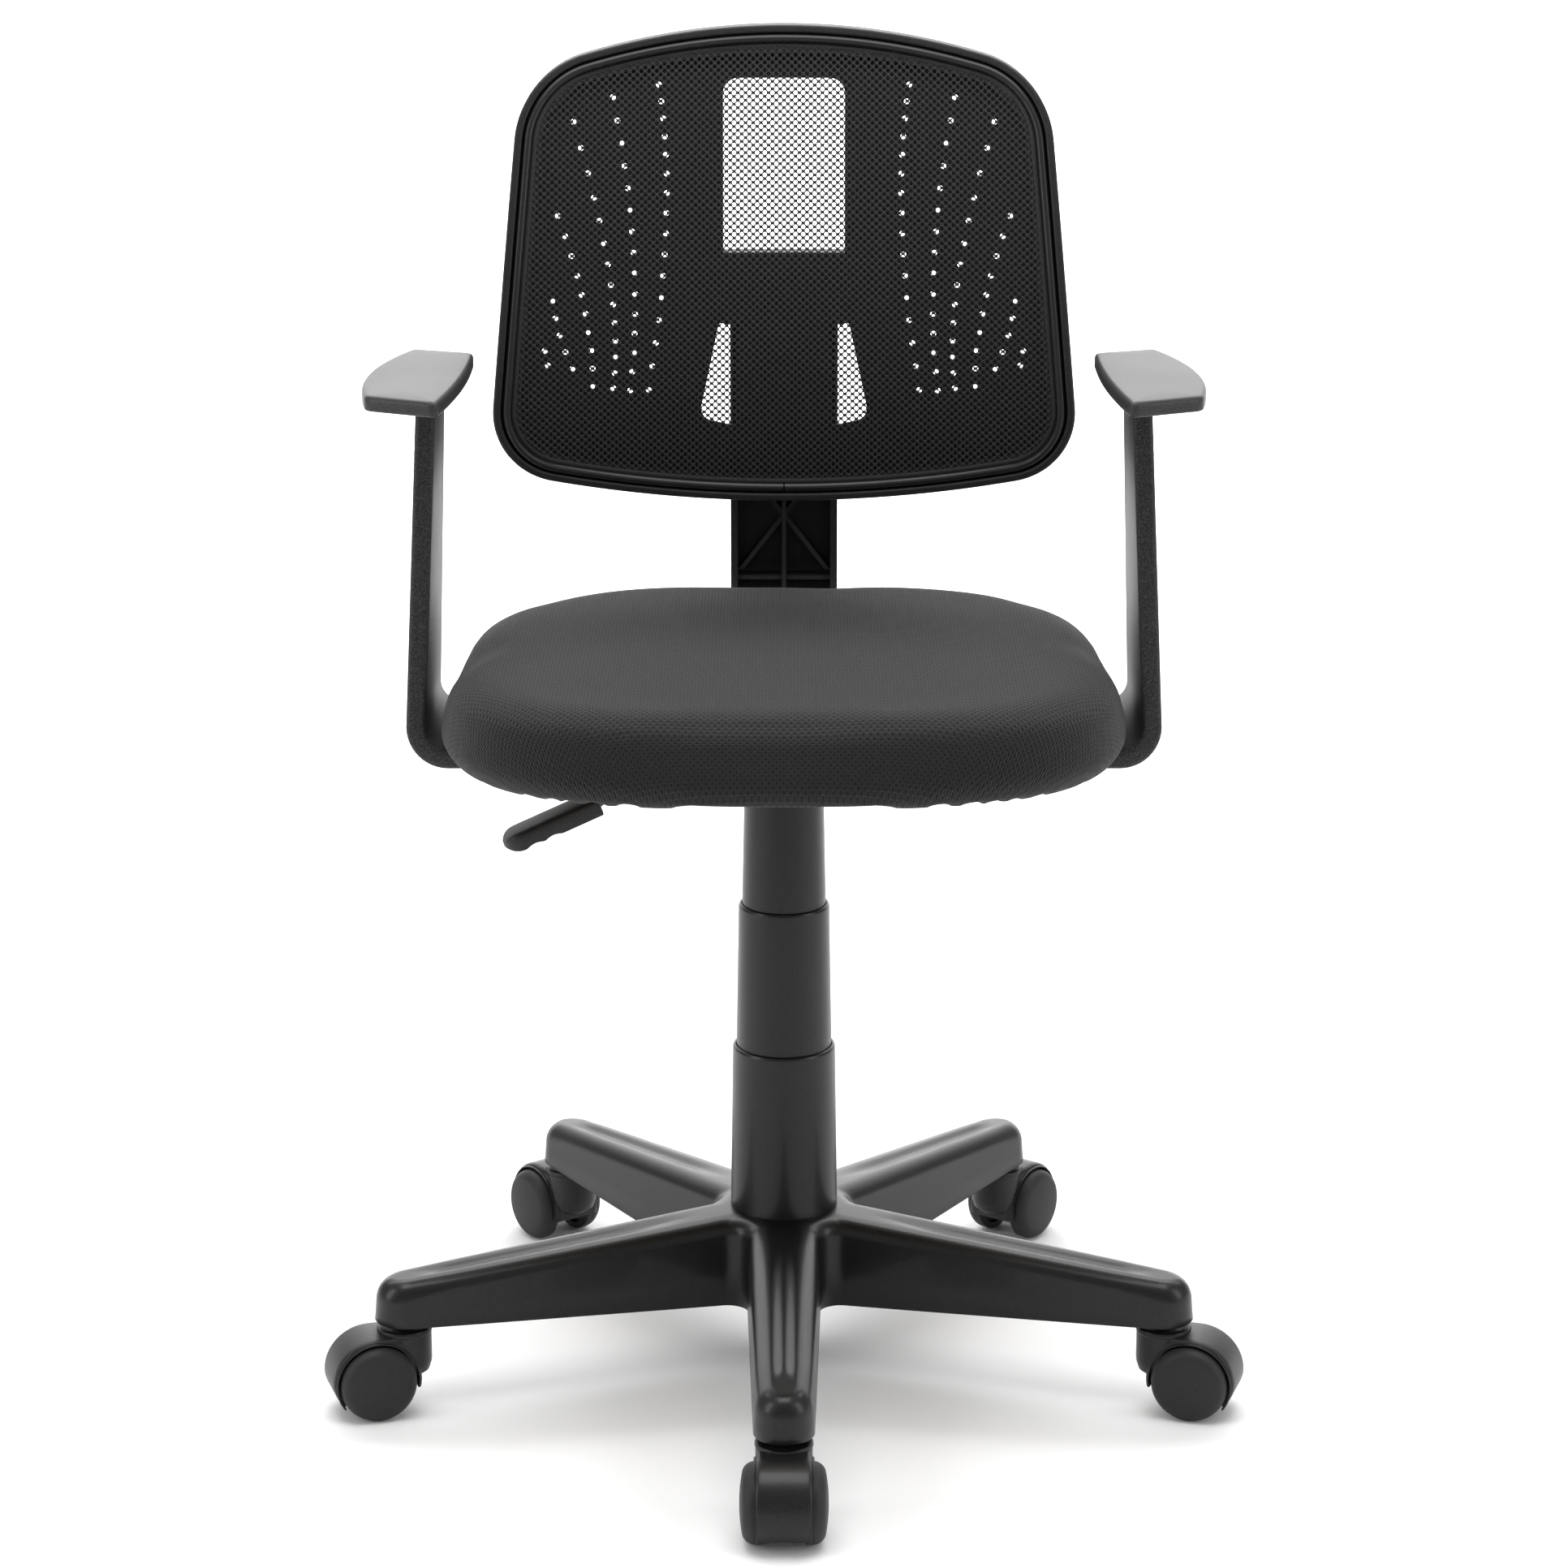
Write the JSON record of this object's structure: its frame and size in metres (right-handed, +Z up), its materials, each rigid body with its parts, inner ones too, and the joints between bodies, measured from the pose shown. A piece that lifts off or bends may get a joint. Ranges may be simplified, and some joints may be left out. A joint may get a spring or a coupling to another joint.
{
  "type": "swivel office chair",
  "caption": "Swivel office chair on a star base with twin-wheel castors: gas lift with telescopic covers, padded seat, fixed arms, pivoting mesh back.",
  "frame": {"origin": "on the floor, under the axis of the gas lift", "axes": "+Z up along the gas lift, the sitter faces -Y, +X to the left arm's opposite side (the sitter's left)"},
  "size_m": [0.6262, 0.6016, 0.896],
  "materials": {
    "nylon_black": "satin",
    "hood_plastic": "matte",
    "wheel_plastic": "matte",
    "cover_plastic": "matte",
    "arm_plastic": "matte",
    "pad_plastic": "satin",
    "shell_plastic": "matte",
    "bead_rubber": "satin",
    "mesh_fabric": "matte",
    "seat_fabric": "matte",
    "plywood": "matte",
    "black_steel": "satin",
    "zinc_steel": "satin",
    "guide_plastic": "satin",
    "buffer_rubber": "matte"
  },
  "bodies": {
    "base": {"base_star": "nylon_black", "column_tube": "black_steel", "column_bush": "guide_plastic", "thrust_bearing": "zinc_steel", "bearing_washers": "zinc_steel", "rubber_buffer": "buffer_rubber", "lower_cover": "cover_plastic", "castor_stems": "zinc_steel", "stem_grips": "zinc_steel"},
    "rod": {"piston_rod": "zinc_steel", "retaining_clip": "zinc_steel"},
    "cover": {"middle_cover": "cover_plastic"},
    "seat": {"gas_cylinder": "black_steel", "upper_cover": "cover_plastic", "seat_plate": "black_steel", "seat_board": "plywood", "seat_cushion": "seat_fabric", "tee_nuts": "zinc_steel", "plate_bolts": "zinc_steel", "arm_bolts": "black_steel", "bar_bolts": "black_steel", "lever_pin": "zinc_steel", "arm_left": "arm_plastic", "arm_right": "arm_plastic", "arm_pad_left": "pad_plastic", "arm_pad_right": "pad_plastic", "pad_screws": "zinc_steel", "back_bar": "nylon_black", "pivot_bushes": "buffer_rubber"},
    "lever": {"lever_rod": "black_steel", "lever_grip": "arm_plastic"},
    "valve": {"valve_pin": "zinc_steel"},
    "back": {"pivot_pin": "zinc_steel", "pivot_bracket": "black_steel", "bracket_screws": "zinc_steel", "back_shell": "shell_plastic", "edge_bead": "bead_rubber", "mesh_carrier": "shell_plastic", "back_mesh": "mesh_fabric"},
    "castor_1": {"castor_hood_1": "hood_plastic", "castor_axle_1": "zinc_steel"},
    "wheel_1_left": {"wheel_1_left": "wheel_plastic"},
    "wheel_1_right": {"wheel_1_right": "wheel_plastic"},
    "castor_2": {"castor_hood_2": "hood_plastic", "castor_axle_2": "zinc_steel"},
    "wheel_2_left": {"wheel_2_left": "wheel_plastic"},
    "wheel_2_right": {"wheel_2_right": "wheel_plastic"},
    "castor_3": {"castor_hood_3": "hood_plastic", "castor_axle_3": "zinc_steel"},
    "wheel_3_left": {"wheel_3_left": "wheel_plastic"},
    "wheel_3_right": {"wheel_3_right": "wheel_plastic"},
    "castor_4": {"castor_hood_4": "hood_plastic", "castor_axle_4": "zinc_steel"},
    "wheel_4_left": {"wheel_4_left": "wheel_plastic"},
    "wheel_4_right": {"wheel_4_right": "wheel_plastic"},
    "castor_5": {"castor_hood_5": "hood_plastic", "castor_axle_5": "zinc_steel"},
    "wheel_5_left": {"wheel_5_left": "wheel_plastic"},
    "wheel_5_right": {"wheel_5_right": "wheel_plastic"}
  },
  "joints": [
    {"name": "seat_swivel", "type": "hinge", "parent": "base", "child": "rod", "pos_m": [0, 0, 0.07], "axis": [0, 0, 1], "continuous": true},
    {"name": "seat_height", "type": "slide", "parent": "rod", "child": "seat", "axis": [0, 0, 1], "range_m": [-0.1, 0]},
    {"name": "cover_slide", "type": "slide", "parent": "base", "child": "cover", "axis": [0, 0, 1], "range_m": [-0.05, 0]},
    {"name": "height_lever", "type": "hinge", "parent": "seat", "child": "lever", "pos_m": [-0.036, 0, 0.452], "axis": [0, 1, 0], "range_deg": [0, 5], "stiffness_Nm_per_rad": 12, "springref_deg": -6.88},
    {"name": "valve_press", "type": "slide", "parent": "seat", "child": "valve", "axis": [0, 0, -1], "range_m": [0, 0.0035], "stiffness_N_per_m": 1200, "springref_m": -0.004},
    {"name": "back_pivot", "type": "hinge", "parent": "seat", "child": "back", "pos_m": [0, 0.263, 0.715], "axis": [-1, 0, 0], "range_deg": [-4, 12], "stiffness_Nm_per_rad": 90},
    {"name": "castor_swivel_1", "type": "hinge", "parent": "base", "child": "castor_1", "pos_m": [0, -0.27, 0.05], "axis": [0, 0, 1], "continuous": true},
    {"name": "wheel_spin_1_left", "type": "hinge", "parent": "castor_1", "child": "wheel_1_left", "pos_m": [0, -0.2925, 0.026], "axis": [1, 0, 0], "continuous": true},
    {"name": "wheel_spin_1_right", "type": "hinge", "parent": "castor_1", "child": "wheel_1_right", "pos_m": [0, -0.2925, 0.026], "axis": [1, 0, 0], "continuous": true},
    {"name": "castor_swivel_2", "type": "hinge", "parent": "base", "child": "castor_2", "pos_m": [0.25679, -0.08343, 0.05], "axis": [0, 0, 1], "continuous": true},
    {"name": "wheel_spin_2_left", "type": "hinge", "parent": "castor_2", "child": "wheel_2_left", "pos_m": [0.27818, -0.09039, 0.026], "axis": [0.309, 0.9511, 0], "continuous": true},
    {"name": "wheel_spin_2_right", "type": "hinge", "parent": "castor_2", "child": "wheel_2_right", "pos_m": [0.27818, -0.09039, 0.026], "axis": [0.309, 0.9511, 0], "continuous": true},
    {"name": "castor_swivel_3", "type": "hinge", "parent": "base", "child": "castor_3", "pos_m": [0.1587, 0.21843, 0.05], "axis": [0, 0, 1], "continuous": true},
    {"name": "wheel_spin_3_left", "type": "hinge", "parent": "castor_3", "child": "wheel_3_left", "pos_m": [0.17193, 0.23664, 0.026], "axis": [-0.809, 0.5878, 0], "continuous": true},
    {"name": "wheel_spin_3_right", "type": "hinge", "parent": "castor_3", "child": "wheel_3_right", "pos_m": [0.17193, 0.23664, 0.026], "axis": [-0.809, 0.5878, 0], "continuous": true},
    {"name": "castor_swivel_4", "type": "hinge", "parent": "base", "child": "castor_4", "pos_m": [-0.1587, 0.21843, 0.05], "axis": [0, 0, 1], "continuous": true},
    {"name": "wheel_spin_4_left", "type": "hinge", "parent": "castor_4", "child": "wheel_4_left", "pos_m": [-0.17193, 0.23664, 0.026], "axis": [-0.809, -0.5878, 0], "continuous": true},
    {"name": "wheel_spin_4_right", "type": "hinge", "parent": "castor_4", "child": "wheel_4_right", "pos_m": [-0.17193, 0.23664, 0.026], "axis": [-0.809, -0.5878, 0], "continuous": true},
    {"name": "castor_swivel_5", "type": "hinge", "parent": "base", "child": "castor_5", "pos_m": [-0.25679, -0.08343, 0.05], "axis": [0, 0, 1], "continuous": true},
    {"name": "wheel_spin_5_left", "type": "hinge", "parent": "castor_5", "child": "wheel_5_left", "pos_m": [-0.27818, -0.09039, 0.026], "axis": [0.309, -0.9511, 0], "continuous": true},
    {"name": "wheel_spin_5_right", "type": "hinge", "parent": "castor_5", "child": "wheel_5_right", "pos_m": [-0.27818, -0.09039, 0.026], "axis": [0.309, -0.9511, 0], "continuous": true}
  ],
  "couplings": [
    {"joint": "cover_slide", "follows": "seat_height", "ratio": 0.5},
    {"joint": "valve_press", "follows": "height_lever", "m_per_rad": 0.0358}
  ]
}
